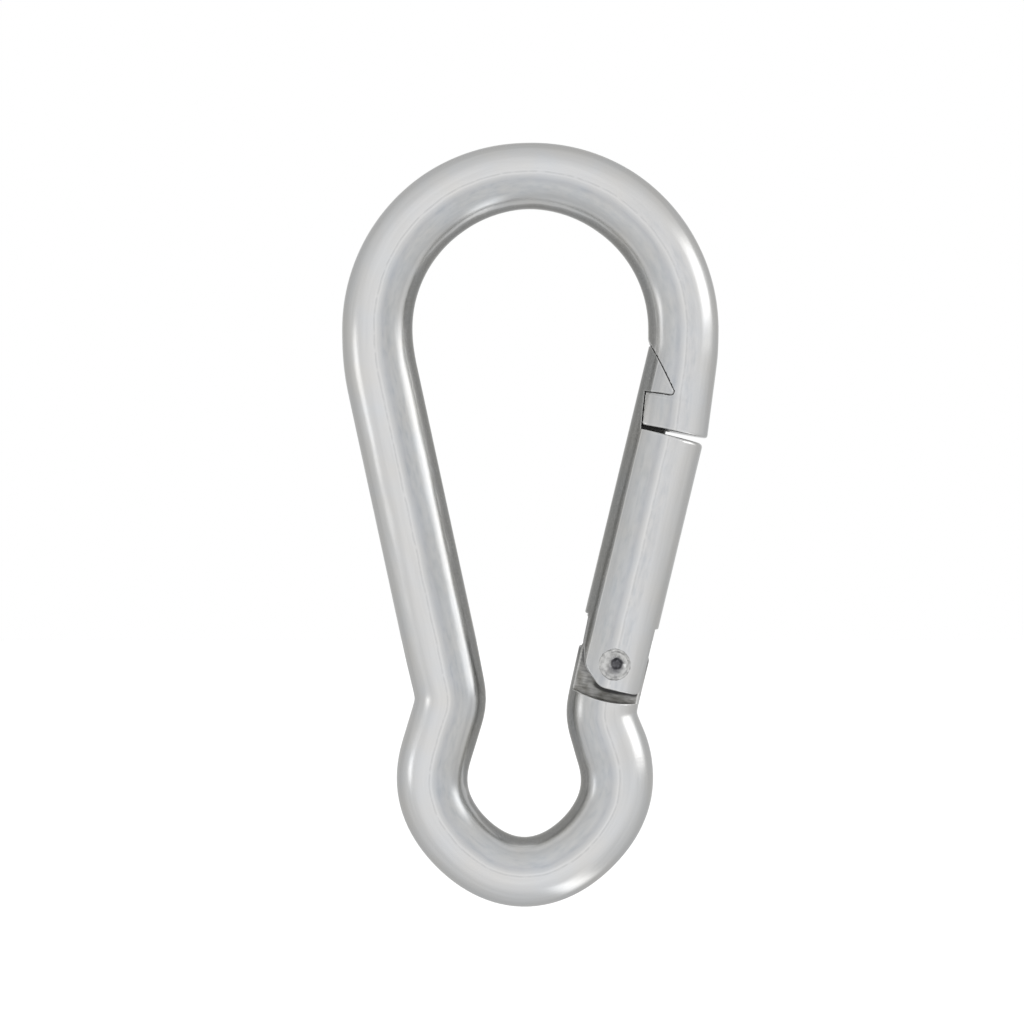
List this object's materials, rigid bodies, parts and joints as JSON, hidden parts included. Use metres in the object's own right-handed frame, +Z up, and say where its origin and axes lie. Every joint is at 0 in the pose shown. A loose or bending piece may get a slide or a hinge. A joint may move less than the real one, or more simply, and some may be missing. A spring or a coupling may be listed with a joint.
{
  "type": "spring snap hook",
  "caption": "Pear-shaped spring snap hook bent from round bar, with a wide bow, a small eye and a solid sprung gate that swings inwards on a rivet.",
  "frame": {"origin": "centre of the hook's box, in the bar's mid-plane", "axes": "+Z up the hook towards the bow, +X towards the gate, the front faces -Y"},
  "size_m": [0.0592, 0.0118, 0.12],
  "materials": {
    "hook_body": "bright zinc plated, satin",
    "gate": "bright zinc plated, satin",
    "hinge_rivet": "peened, satin",
    "plunger": "ground steel",
    "gate_spring": "drawn spring wire"
  },
  "bodies": {
    "hook_body": {"hook_body": "hook_body"},
    "gate": {"gate": "gate", "hinge_rivet": "hinge_rivet", "gate_spring": "gate_spring"},
    "plunger": {"plunger": "plunger"}
  },
  "joints": [
    {"name": "gate_hinge", "type": "hinge", "parent": "hook_body", "child": "gate", "pos_m": [0.01309, 0, -0.02179], "axis": [0, -1, 0], "range_deg": [0, 40], "stiffness_Nm_per_rad": 0.15, "springref_deg": -28.65},
    {"name": "plunger_slide", "type": "slide", "parent": "gate", "child": "plunger", "axis": [0.2343, 0, 0.9722], "range_m": [0, 0.0014], "deforming": ["gate_spring"]}
  ],
  "couplings": [
    {"joint": "plunger_slide", "follows": "gate_hinge", "m_per_rad": 0.00182}
  ]
}
